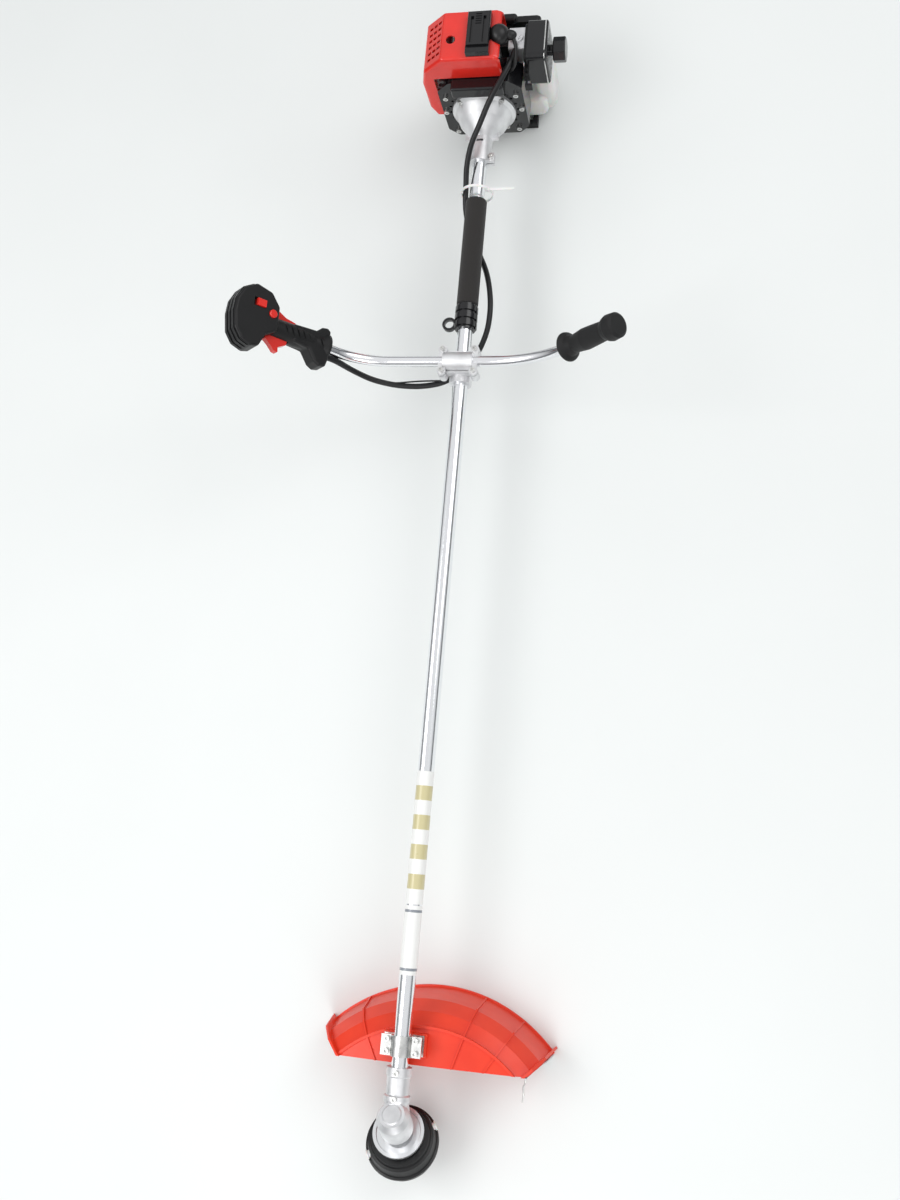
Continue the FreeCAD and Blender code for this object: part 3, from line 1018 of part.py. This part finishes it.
def make_tank():
    tank = box(("tank_back", "tank_left", "tank_low"), ("tank_front", "tank_right", "tank_top"))
    tank = rounded(tank, "tank_round", along(X))
    tank = rounded(tank, 8, lambda e: e.BoundBox.XLength < 0.01)
    shoulder = box(("tank_back + 10.5", "shoulder_left", "tank_low + 9"),
                   ("shoulder_front", "shoulder_right", "shoulder_top"))
    shoulder = rounded(shoulder, 12, lambda e: not along(X)(e) and not along(Y)(e))
    shoulder = rounded(shoulder, 5, lambda e: e.BoundBox.ZMin > size("shoulder_top - 0.1"))
    neck = rod(("cap_x", "cap_y", "shoulder_top - 3"), "z", "neck_radius", "neck_height + 3")
    node(fuse(tank, shoulder, neck), "fuel_tank")
    cap = rod(("cap_x", "cap_y", "shoulder_top + neck_height + 0.2"), "z", "cap_radius", "cap_height")
    cap = rounded(cap, 2, lambda e: e.BoundBox.ZMin > size("shoulder_top + 20"))
    ribs = [turned_about(box(("cap_radius - 1", -1.2, "shoulder_top + neck_height + 2"),
                             ("cap_radius + 1.2", 1.2, "shoulder_top + neck_height + 13")), Z, 30 * n)
            for n in range(12)]
    for rib in ribs:
        rib.Placement = Placement(point("cap_x", "cap_y", 0), Rotation()).multiply(rib.Placement)
    node(fuse(cap, *ribs), "fuel_cap")
    hose = swept([point("carb_x - 10", "carb_middle", "carb_z - carb_half_z"),
                  point("carb_x - 10", "carb_middle", 37), point("carb_x - 4", 70, 22),
                  point("carb_x + 6", 84, 7), point("carb_x + 1", 98, -7),
                  point("carb_x - 5", 102, -20), point("carb_x - 5", 102, "shoulder_top")],
                 size("line_radius"))
    node(hose, "fuel_line")


def make_stand():
    """Black moulded foot under the tank, fixed to the fan cover."""
    floor = [box(("tank_back + 4", f"{y} - stand_bar / 2", "stand_low"),
                 ("post_x + stand_bar", f"{y} + stand_bar / 2", "tank_low"))
             for y in ("stand_left", "stand_right")]
    rails = [box((x, "stand_left", "stand_low"), (f"{x} + stand_bar", "stand_right", "tank_low"))
             for x in ("tank_back + 4", "post_x")]
    posts = [box(("post_x", f"{y} - stand_bar / 2", "stand_low"),
                 ("post_x + stand_bar", f"{y} + stand_bar / 2", "0 - cover_chin"))
             for y in ("stand_left + 6", "stand_right - 14")]
    arms = [box(("post_x", f"{y} - stand_bar / 2", "0 - cover_chin - 6"),
                ("cover_back + 16", f"{y} + stand_bar / 2", "0 - cover_chin"))
            for y in ("stand_left + 6", "stand_right - 14")]
    node(fuse(*floor, *rails, *posts, *arms), "engine_stand")


# ---------------------------------------------------------------- cables

def cable_points():
    """Route of the throttle cable from the carburettor to the throttle grip, by hand."""
    return [point("carb_x + 30", 64, 90), point(-130, 60.5, 100), point(-100, 47, 97),
            point(-68, 24, 80), point(-40, 6, 56), point(-16, -11, 36), point(14, -20, 16),
            point(46, -20.5, 3), point(78, -22, -12), point(114, -14, -25),
            point(152, 4, -30), point(190, 22, -25), point(228, 33, -14),
            point(268, 39, -10), point(308, 36, -16), point(344, 22, -24), point(376, -2, -27),
            point(400, -34, -26), point(409, -74, -22), point(410, -116, -14),
            point(407, -154, 3), point(402, -182, 32), point(400, -201.5, 66),
            point("bar_x + 15.4", "left_mid_y - 27.6", "left_mid_z + 31.6")]


def make_cable():
    node(swept(cable_points(), 4.8, name="throttle_cable"), "throttle_cable")


make_clutch_housing()
make_rotor()
make_case()
make_shroud()
make_muffler()
make_starter()
make_intake()
make_tank()
make_stand()
make_cable()
make_shaft()
make_hanger()
make_tie()
make_bar_clamp()
make_handlebar()
make_plain_grip()
make_throttle_housing()
make_throttle_controls()
make_gearbox()
make_drive()
make_head()
make_guard()
make_guard_bracket()
make_line_cutter()
node(compound(*LOOSE_SCREWS), "case_screws")

# ---------------------------------------------------------------- check and write

doc.recompute()
for thing in doc.Objects:
    if "Invalid" in thing.State or "Error" in thing.State:
        raise RuntimeError(f"{thing.Label}: {thing.State}")
os.makedirs("parts", exist_ok=True)
whole = FreeCAD.BoundBox()
for label, thing in NODES.items():
    shape = thing.Shape
    if shape.isNull() or not shape.isValid() or not shape.Solids:
        raise RuntimeError(f"{label}: no valid solid")
    shape.exportStep(f"parts/{label}.step")
    whole.add(shape.BoundBox)
print(len(NODES), "sub-parts;", "whole", whole)
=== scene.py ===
import math

import bpy
from mathutils import Euler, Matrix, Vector


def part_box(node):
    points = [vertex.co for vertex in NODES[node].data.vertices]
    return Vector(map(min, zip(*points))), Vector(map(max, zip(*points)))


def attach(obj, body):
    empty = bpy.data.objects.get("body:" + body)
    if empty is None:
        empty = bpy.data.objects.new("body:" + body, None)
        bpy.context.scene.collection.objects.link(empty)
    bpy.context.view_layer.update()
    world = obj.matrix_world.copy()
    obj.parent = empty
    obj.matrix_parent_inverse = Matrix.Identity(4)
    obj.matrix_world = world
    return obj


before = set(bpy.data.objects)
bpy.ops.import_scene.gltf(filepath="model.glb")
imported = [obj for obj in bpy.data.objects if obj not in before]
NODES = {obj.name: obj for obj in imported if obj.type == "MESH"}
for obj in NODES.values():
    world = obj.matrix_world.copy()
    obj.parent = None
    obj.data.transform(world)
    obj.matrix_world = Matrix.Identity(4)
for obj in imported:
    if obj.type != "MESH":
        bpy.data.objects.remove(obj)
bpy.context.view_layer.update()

# The camera looks down on the machine, with the engine at the top of the picture.
# Its turn is in degrees, and its sensor and lens are in millimetres.
CAMERA_PLACE = (0.490, 0.444, 1.981)
CAMERA_TURN = (13.28, 11.08, 94.96)
SENSOR = 24
LENS = 24
# Side of the square floor, in metres.
FLOOR_SIDE = 60
# Sine of the height above the horizon where the sky starts and ends its change.
SKY_DARK_UNTIL = 0.15
SKY_BRIGHT_FROM = 0.55
SKY_DARK = (0.16, 0.17, 0.18, 1)
SKY_BRIGHT = (0.98, 0.99, 1, 1)
SKY_STRENGTH = 0.82

# Thickness of the small round pieces, as radii in metres.
PLUG_LEAD_RADIUS = 0.0032
STOP_WIRE_RADIUS = 0.0014
HOLDER_RADIUS = 0.006
STRIP_RADIUS = 0.0012
CLIP_RADIUS = 0.0012

# The filter clip's ends, its depth behind the cover's face, and how far out it stands.
CLIP_INSET = 0.006
CLIP_DEPTH = 0.0045
CLIP_STANDS_OUT = 0.0062

# Inks of the plain bands on the two label sleeves.
OCHRE_INK = (0.6, 0.54, 0.3)
GREY_INK = (0.25, 0.27, 0.3)

# The colour mixing node has several sockets with the same names, so they go by number.
MIX_SHARE, MIX_UNDER, MIX_OVER, MIX_RESULT = 0, 6, 7, 2

# The middle of the clutch housing's mouth, where the tube goes in.
MOUTH = Vector((-0.70706, 0.03023, 0.132))


# ---------------------------------------------------------------- materials

def shader(name, colour, rough, metal=0.0, **sockets):
    """A principled material; extra sockets are set by their names with _ for a space."""
    made = bpy.data.materials.new(name)
    made.use_nodes = True
    base = made.node_tree.nodes["Principled BSDF"]
    base.inputs["Base Color"].default_value = (*colour, 1)
    base.inputs["Roughness"].default_value = rough
    base.inputs["Metallic"].default_value = metal
    for socket, number in sockets.items():
        base.inputs[socket.replace("_", " ")].default_value = number
    return made


def add(made, kind, **values):
    node = made.node_tree.nodes.new(kind)
    for name, value in values.items():
        if name in node.inputs:
            node.inputs[name].default_value = value
        else:
            setattr(node, name, value)
    return node


def link(made, out, into):
    made.node_tree.links.new(out, into)


def place_in_object(made, stretch=(1, 1, 1)):
    """Object coordinates in metres, stretched per axis."""
    where = add(made, "ShaderNodeTexCoord")
    mapping = add(made, "ShaderNodeMapping", Scale=stretch)
    link(made, where.outputs["Object"], mapping.inputs["Vector"])
    return mapping.outputs["Vector"]


def noise(made, scale, detail=4, stretch=(1, 1, 1)):
    grain = add(made, "ShaderNodeTexNoise", Scale=scale, Detail=detail)
    link(made, place_in_object(made, stretch), grain.inputs["Vector"])
    return grain.outputs["Fac"]


def base_of(made):
    return made.node_tree.nodes["Principled BSDF"]


def vary_roughness(made, pattern, low, high):
    ramp = add(made, "ShaderNodeMapRange")
    ramp.inputs["To Min"].default_value = low
    ramp.inputs["To Max"].default_value = high
    link(made, pattern, ramp.inputs["Value"])
    link(made, ramp.outputs["Result"], base_of(made).inputs["Roughness"])


def vary_colour(made, pattern, dark, light, low=0.35, high=0.65):
    ramp = add(made, "ShaderNodeValToRGB")
    ramp.color_ramp.elements[0].color = (*dark, 1)
    ramp.color_ramp.elements[0].position = low
    ramp.color_ramp.elements[1].color = (*light, 1)
    ramp.color_ramp.elements[1].position = high
    link(made, pattern, ramp.inputs["Fac"])
    link(made, ramp.outputs["Color"], base_of(made).inputs["Base Color"])


def bump(made, pattern, height, strength=1.0):
    """Height in metres."""
    node = add(made, "ShaderNodeBump", Distance=height, Strength=strength)
    link(made, pattern, node.inputs["Height"])
    link(made, node.outputs["Normal"], base_of(made).inputs["Normal"])


def cast_aluminium():
    made = shader("cast_aluminium", (0.74, 0.75, 0.76), 0.48, 1.0)
    bump(made, noise(made, 900, 3), 0.00012)
    vary_roughness(made, noise(made, 60), 0.42, 0.58)
    vary_colour(made, noise(made, 35), (0.7, 0.7, 0.71), (0.84, 0.84, 0.85))
    return made


def bright_tube():
    """Drawn and polished tube: faint lines along its length."""
    made = shader("bright_tube", (0.88, 0.89, 0.91), 0.14, 1.0)
    lines = noise(made, 260, 3, (0.02, 1, 1))
    vary_roughness(made, lines, 0.1, 0.24)
    bump(made, lines, 0.00002, 0.5)
    return made


def bright_bar():
    made = shader("bright_bar", (0.9, 0.9, 0.92), 0.12, 1.0)
    vary_roughness(made, noise(made, 120, 3), 0.08, 0.2)
    return made


def plated_steel():
    made = shader("plated_steel", (0.7, 0.7, 0.69), 0.28, 1.0)
    vary_colour(made, noise(made, 90), (0.58, 0.58, 0.57), (0.78, 0.78, 0.76))
    vary_roughness(made, noise(made, 200), 0.2, 0.4)
    return made


def blade_steel():
    made = shader("blade_steel", (0.62, 0.63, 0.64), 0.3, 1.0)
    bump(made, noise(made, 300, 3, (1, 1, 0.05)), 0.00005)
    return made


def machined_flange():
    """Turned rings on the drive flange."""
    made = shader("machined_flange", (0.86, 0.87, 0.88), 0.18, 1.0)
    vary_roughness(made, noise(made, 500, 2), 0.12, 0.3)
    return made


def moulded_black():
    made = shader("moulded_black", (0.006, 0.006, 0.0065), 0.46, Specular_IOR_Level=0.35)
    bump(made, noise(made, 1400, 2), 0.00008, 0.6)
    vary_roughness(made, noise(made, 45), 0.34, 0.5)
    return made


def glossy_black():
    made = shader("glossy_black", (0.005, 0.005, 0.006), 0.2, Coat_Weight=0.25,
                  Specular_IOR_Level=0.4)
    vary_roughness(made, noise(made, 30), 0.12, 0.26)
    bump(made, noise(made, 220, 2), 0.00003, 0.5)
    return made


def head_black():
    made = shader("head_black", (0.008, 0.008, 0.0085), 0.33, Specular_IOR_Level=0.4)
    bump(made, noise(made, 900, 3), 0.00006, 0.7)
    vary_roughness(made, noise(made, 70), 0.26, 0.42)
    return made


def gloss_red(name="gloss_red", colour=(0.78, 0.022, 0.012)):
    made = shader(name, colour, 0.2, Coat_Weight=0.35)
    deep = tuple(0.86 * part for part in colour)
    vary_colour(made, noise(made, 18), deep, colour)
    bump(made, noise(made, 260, 2), 0.00003, 0.5)
    return made


def orange_guard():
    made = shader("orange_guard", (0.86, 0.068, 0.018), 0.34, Subsurface_Weight=0.04,
                  Subsurface_Scale=0.003)
    vary_colour(made, noise(made, 14), (0.76, 0.034, 0.008), (0.84, 0.046, 0.012))
    vary_roughness(made, noise(made, 60), 0.28, 0.42)
    bump(made, noise(made, 500, 3), 0.00006, 0.5)
    return made


def cell_foam():
    made = shader("cell_foam", (0.016, 0.014, 0.013), 0.85, Sheen_Weight=0.12)
    cells = add(made, "ShaderNodeTexVoronoi", Scale=1500)
    link(made, place_in_object(made), cells.inputs["Vector"])
    bump(made, cells.outputs["Distance"], 0.0003, 0.8)
    return made


def soft_rubber():
    made = shader("soft_rubber", (0.009, 0.009, 0.0095), 0.55, Specular_IOR_Level=0.35)
    bump(made, noise(made, 800, 3), 0.0001, 0.7)
    vary_roughness(made, noise(made, 50), 0.48, 0.66)
    return made


def soft_black():
    made = shader("soft_black", (0.009, 0.0085, 0.009), 0.36, Specular_IOR_Level=0.4)
    vary_roughness(made, noise(made, 120), 0.28, 0.46)
    bump(made, noise(made, 600, 2), 0.00005, 0.5)
    return made


def cable_sheath():
    made = shader("cable_sheath", (0.007, 0.007, 0.008), 0.4, Specular_IOR_Level=0.4)
    bump(made, noise(made, 400, 2), 0.00008, 0.6)
    return made


def tank_plastic():
    """Milky translucent tank."""
    made = shader("tank_plastic", (0.86, 0.87, 0.84), 0.36, Subsurface_Weight=0.5,
                  Subsurface_Scale=0.01, Transmission_Weight=0.1)
    vary_colour(made, noise(made, 20), (0.8, 0.8, 0.76), (0.9, 0.9, 0.88))
    bump(made, noise(made, 300, 2), 0.00005, 0.5)
    return made


def white_nylon():
    made = shader("white_nylon", (0.82, 0.82, 0.8), 0.4, Subsurface_Weight=0.2,
                  Subsurface_Scale=0.001)
    bump(made, noise(made, 700, 2), 0.00005, 0.5)
    return made


def fuel_hose():
    made = shader("fuel_hose", (0.62, 0.02, 0.015), 0.3, Coat_Weight=0.3)
    bump(made, noise(made, 500, 2), 0.00004)
    return made


def printed_label(name, blocks, ground=(0.86, 0.86, 0.84)):
    """White film with plain printed blocks: (start, end along X, side low, side high, colour)."""
    made = shader(name, ground, 0.3, Coat_Weight=0.5)
    where = add(made, "ShaderNodeTexCoord")
    split = add(made, "ShaderNodeSeparateXYZ")
    link(made, where.outputs["Object"], split.inputs["Vector"])
    colour = None
    for start, end, low, high, ink in blocks:
        masks = []
        for axis, edge, kind in (("X", start, "GREATER_THAN"), ("X", end, "LESS_THAN"),
                                 ("Y", low, "GREATER_THAN"), ("Y", high, "LESS_THAN")):
            test = add(made, "ShaderNodeMath", operation=kind)
            link(made, split.outputs[axis], test.inputs[0])
            test.inputs[1].default_value = edge
            masks.append(test.outputs["Value"])
        inside = masks[0]
        for mask in masks[1:]:
            both = add(made, "ShaderNodeMath", operation="MULTIPLY")
            link(made, inside, both.inputs[0])
            link(made, mask, both.inputs[1])
            inside = both.outputs["Value"]
        mix = add(made, "ShaderNodeMix", data_type="RGBA")
        mix.inputs[MIX_UNDER].default_value = (*ground, 1)
        if colour:
            link(made, colour, mix.inputs[MIX_UNDER])
        mix.inputs[MIX_OVER].default_value = (*ink, 1)
        link(made, inside, mix.inputs[MIX_SHARE])
        colour = mix.outputs[MIX_RESULT]
    if colour:
        link(made, colour, base_of(made).inputs["Base Color"])
    vary_roughness(made, noise(made, 80), 0.24, 0.36)
    return made


def label_bands(name, ink, shares):
    """Plain bands across a label, at shares of its length."""
    low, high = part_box(name)
    start, length, side = low[0], high[0] - low[0], high[1] - low[1]
    middle = (low[1] + high[1]) / 2
    return [(start + first * length, start + last * length, middle - side, middle + side, ink)
            for first, last in shares]


def even_shares(count):
    """Equal bands with equal gaps between them, as shares of a length."""
    step = 1 / (2 * count + 1)
    return [((2 * place + 1) * step, (2 * place + 2) * step) for place in range(count)]


def paint(material, *names):
    for name in names:
        slots = NODES[name].data.materials
        slots.clear()
        slots.append(material)


def paint_everything():
    paint(cast_aluminium(), "clutch_housing", "bar_clamp_base", "bar_clamp_cap",
          "gearbox_housing", "crankcase", "cylinder", "carburettor", "throttle_arm",
          "flywheel_fan")
    paint(bright_tube(), "shaft_tube")
    paint(bright_bar(), "handlebar")
    paint(plated_steel(), "case_screws", "bar_clamp_screws", "guard_screws",
          "guard_bracket_base", "guard_bracket_cap", "drive_shaft", "pinion",
          "output_spindle", "clutch_drum", "clutch_shoes", "crankshaft", "spark_plug",
          "muffler")
    paint(blade_steel(), "line_cutter")
    paint(machined_flange(), "head_flange")
    paint(moulded_black(), "starter_housing", "starter_pulley", "starter_handle",
          "air_filter_base", "choke_lever", "intake_insulator", "fuel_cap", "engine_stand",
          "throttle_housing", "shaft_bushes")
    paint(glossy_black(), "fan_cover", "spark_plug_cover", "harness_hanger",
          "air_filter_cover", "air_filter_knob")
    paint(head_black(), "trimmer_head", "bump_spool")
    paint(gloss_red(), "engine_shroud")
    paint(gloss_red("control_red", (0.8, 0.03, 0.02)), "throttle_trigger", "lockout_lever",
          "stop_switch", "hold_button")
    paint(orange_guard(), "guard")
    paint(cell_foam(), "foam_grip", "air_filter_element")
    paint(soft_rubber(), "plain_grip", "primer_bulb")
    paint(cable_sheath(), "throttle_cable")
    paint(tank_plastic(), "fuel_tank")
    paint(white_nylon(), "cable_tie", "line_eyelets")
    paint(fuel_hose(), "fuel_line")
    bands = label_bands("caution_label", OCHRE_INK, even_shares(4))
    paint(printed_label("caution_film", bands), "caution_label")
    bands = label_bands("maker_label", GREY_INK, ((0.06, 0.1), (0.9, 0.94)))
    paint(printed_label("maker_film", bands), "maker_label")


# ---------------------------------------------------------------- pieces

def tube_piece(name, points, radius, body, material):
    """A round flexible piece on a smooth NURBS curve, in metres."""
    curve = bpy.data.curves.new(name, "CURVE")
    curve.dimensions = "3D"
    curve.bevel_depth = radius
    curve.bevel_resolution = 6
    curve.resolution_u = 16
    curve.use_fill_caps = True
    spline = curve.splines.new("NURBS")
    spline.points.add(len(points) - 1)
    for spot, place in zip(spline.points, points):
        spot.co = (*place, 1)
    spline.order_u = 3
    spline.use_endpoint_u = True
    piece = bpy.data.objects.new(name, curve)
    bpy.context.collection.objects.link(piece)
    curve.materials.append(material)
    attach(piece, body)
    return piece


def from_mouth(x, y, z):
    """A place in the row frame from millimetres counted from the clutch housing's mouth."""
    return Vector((x / 1000, y / 1000, z / 1000)) + MOUTH


def route(*places):
    """Points in the row frame, from places in millimetres counted from the mouth."""
    return [from_mouth(*place) for place in places]


def ball(name, place, radius, squash, material):
    """A smooth moulded knob."""
    bpy.ops.mesh.primitive_uv_sphere_add(segments=48, ring_count=24, radius=radius,
                                         location=place)
    piece = bpy.context.object
    piece.name = name
    piece.data.name = name
    piece.scale = squash
    for face in piece.data.polygons:
        face.use_smooth = True
    piece.data.materials.append(material)
    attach(piece, "machine")


def plug_lead():
    """Spark plug boot beside the cover, and the lead that leaves it for the ignition coil."""
    black = soft_black()
    ball("plug_boot", from_mouth(-158, 42, 128), 0.018, (1.0, 0.95, 0.9), black)
    ball("plug_boot_nose", from_mouth(-158, 59, 126), 0.0085, (1.0, 1.5, 1.0), black)
    tube_piece("plug_lead",
               route((-158, 64, 124), (-146, 70, 120), (-132, 70, 108),
                     (-122, 66, 96), (-120, 58, 84), (-128, 49, 74)),
               PLUG_LEAD_RADIUS, "machine", black)


def stop_wire():
    """Thin switch wire that leaves the throttle grip beside the cable."""
    tube_piece("stop_wire",
               route((393, -212, 76), (394, -200, 60), (401, -178, 34), (408, -150, 8),
                     (409, -120, -8), (403, -90, -14), (400, -62, -17), (399, -40, -19)),
               STOP_WIRE_RADIUS, "machine", soft_black())


def guard_end():
    """Black holder under the guard's +Y end, with the thin strip that hangs from it."""
    tube_piece("cutter_holder",
               route((1487, 193, -90), (1493, 186, -80), (1501, 178, -68)),
               HOLDER_RADIUS, "machine", soft_black())
    tube_piece("cutter_strip",
               route((1499, 180, -70), (1512, 181, -74), (1520, 176, -78),
                     (1530, 178, -82), (1543, 176, -86)),
               STRIP_RADIUS, "machine", plated_steel())


def filter_rim():
    """Bright clip round the outer edge of the air filter cover."""
    low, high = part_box("air_filter_cover")
    x_low, x_high = low[0] + CLIP_INSET, high[0] - CLIP_INSET
    z_low, z_high = low[2] + CLIP_INSET, high[2] - CLIP_INSET
    side = high[1] - CLIP_DEPTH
    out = CLIP_STANDS_OUT
    tube_piece("filter_clip",
               [(x_low, side, z_high + out), (x_high, side, z_high + out),
                (x_high + out, side, z_high), (x_high + out, side, z_low)],
               CLIP_RADIUS, "machine", plated_steel())


# ---------------------------------------------------------------- scene

def make_camera():
    lens = bpy.data.cameras.new("camera")
    lens.sensor_fit = "VERTICAL"
    lens.sensor_height = SENSOR
    lens.lens = LENS
    camera = bpy.data.objects.new("camera", lens)
    camera.location = CAMERA_PLACE
    camera.rotation_euler = Euler([math.radians(turn) for turn in CAMERA_TURN])
    bpy.context.collection.objects.link(camera)
    bpy.context.scene.camera = camera


def make_floor():
    half = FLOOR_SIDE / 2
    mesh = bpy.data.meshes.new("floor")
    mesh.from_pydata([(-half, -half, 0), (half, -half, 0), (half, half, 0), (-half, half, 0)],
                     [], [(0, 1, 2, 3)])
    floor = bpy.data.objects.new("floor", mesh)
    bpy.context.collection.objects.link(floor)
    made = shader("floor", (0.78, 0.8, 0.79), 0.9)
    vary_colour(made, noise(made, 1.5), (0.77, 0.79, 0.78), (0.79, 0.81, 0.8))
    mesh.materials.append(made)


def area_light(name, place, size, power, target=(0, 0, 0.1)):
    lamp = bpy.data.lights.new(name, "AREA")
    lamp.shape = "RECTANGLE"
    lamp.size, lamp.size_y = size
    lamp.energy = power
    thing = bpy.data.objects.new(name, lamp)
    thing.location = place
    way = Vector(target) - Vector(place)
    thing.rotation_euler = way.to_track_quat("-Z", "Y").to_euler()
    bpy.context.collection.objects.link(thing)


def make_light():
    world = bpy.data.worlds.new("studio")
    world.use_nodes = True
    sky_nodes = world.node_tree.nodes
    where = sky_nodes.new("ShaderNodeTexCoord")
    split = sky_nodes.new("ShaderNodeSeparateXYZ")
    ramp = sky_nodes.new("ShaderNodeValToRGB")
    ramp.color_ramp.elements[0].color = SKY_DARK
    ramp.color_ramp.elements[0].position = SKY_DARK_UNTIL
    ramp.color_ramp.elements[1].color = SKY_BRIGHT
    ramp.color_ramp.elements[1].position = SKY_BRIGHT_FROM
    for out, into in ((where.outputs["Generated"], split.inputs["Vector"]),
                      (split.outputs["Z"], ramp.inputs["Fac"]),
                      (ramp.outputs["Color"], sky_nodes["Background"].inputs["Color"])):
        world.node_tree.links.new(out, into)
    sky_nodes["Background"].inputs["Strength"].default_value = SKY_STRENGTH
    bpy.context.scene.world = world
    area_light("key", (0.6, -1.6, 2.6), (2.4, 1.2), 32)
    area_light("fill", (-1.4, 1.8, 2.4), (1.8, 1.8), 21)
    area_light("end", (2.2, 0.6, 1.5), (1.2, 1.2), 14)
    bpy.context.scene.view_settings.view_transform = "Standard"


make_camera()
make_floor()
make_light()
paint_everything()
plug_lead()
stop_wire()
filter_rim()
guard_end()
